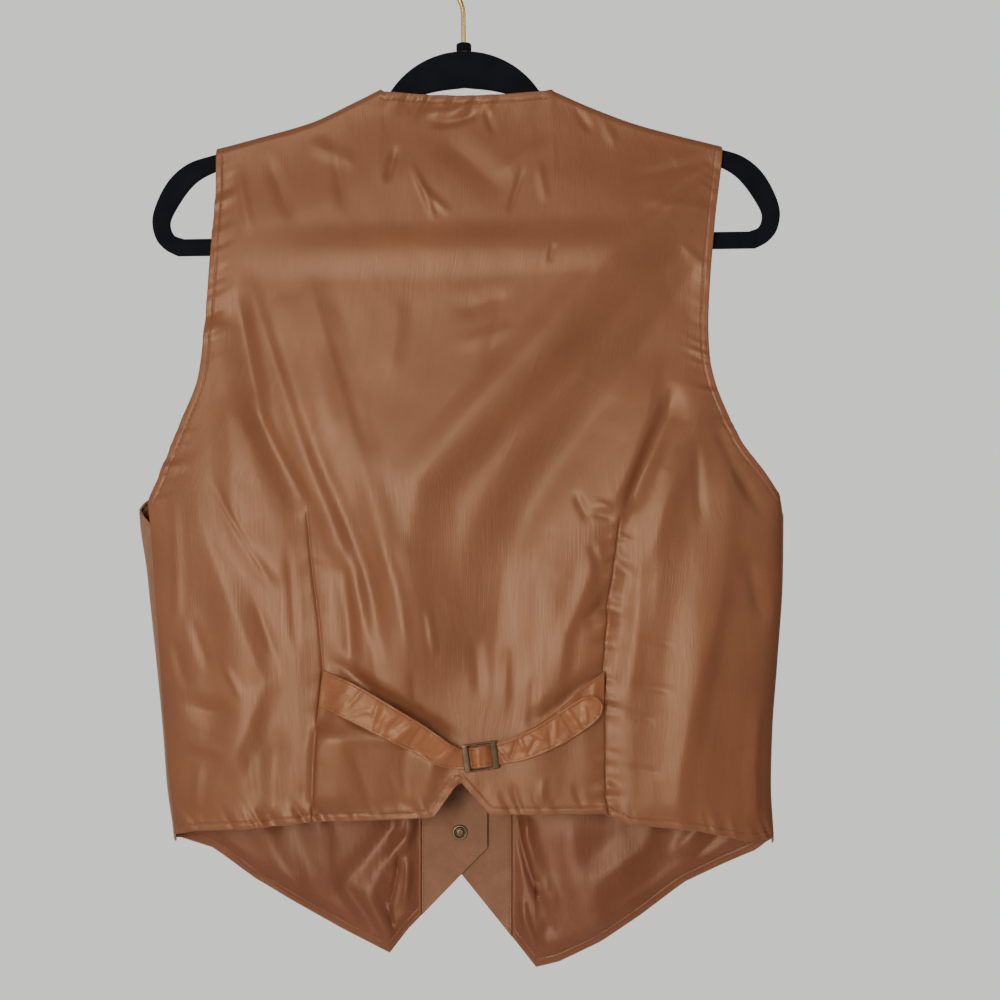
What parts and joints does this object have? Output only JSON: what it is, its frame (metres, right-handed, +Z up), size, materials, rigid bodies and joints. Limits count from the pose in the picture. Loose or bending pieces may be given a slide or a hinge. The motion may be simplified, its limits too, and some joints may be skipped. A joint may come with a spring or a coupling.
{
  "type": "western vest on a hanger",
  "caption": "Western vest with a satin back, cinch belt and pointed suede fronts, hanging from a slim velvet hanger with a wire hook.",
  "frame": {"origin": "inside top of the hook's loop, where a rail carries it", "axes": "+Z up; -Y faces whoever looks at the vest's back, so the fronts lie on +Y; +X to that viewer's right, which is the wearer's right"},
  "size_m": [0.4552, 0.0719, 0.7451],
  "materials": {
    "back_satin": "shiny copper-brown acetate satin, fine warp-faced weave, soft creases",
    "lining_satin": "shiny brown lining satin in the back's colour",
    "suede": "matte tan-brown suede with a short nap",
    "antique_brass": "dark antiqued brass, rubbed brighter on its edges",
    "velvet": "near-black flocked velvet over plastic",
    "gold_wire": "polished gold-coloured plated wire"
  },
  "bodies": {
    "root": {"back": "back_satin", "front_left": "suede", "front_left_lining": "lining_satin", "front_left_facing": "suede", "front_right": "suede", "front_right_lining": "lining_satin", "front_right_facing": "suede", "belt_long": "back_satin", "belt_short": "back_satin", "buckle": "antique_brass", "snap_cap_1": "antique_brass", "snap_ring_1": "antique_brass", "snap_cap_2": "antique_brass", "snap_ring_2": "antique_brass", "snap_cap_3": "antique_brass", "snap_ring_3": "antique_brass", "snap_cap_4": "antique_brass", "snap_ring_4": "antique_brass", "hanger": "velvet", "hook_collar": "velvet", "hook": "gold_wire"}
  },
  "joints": []
}
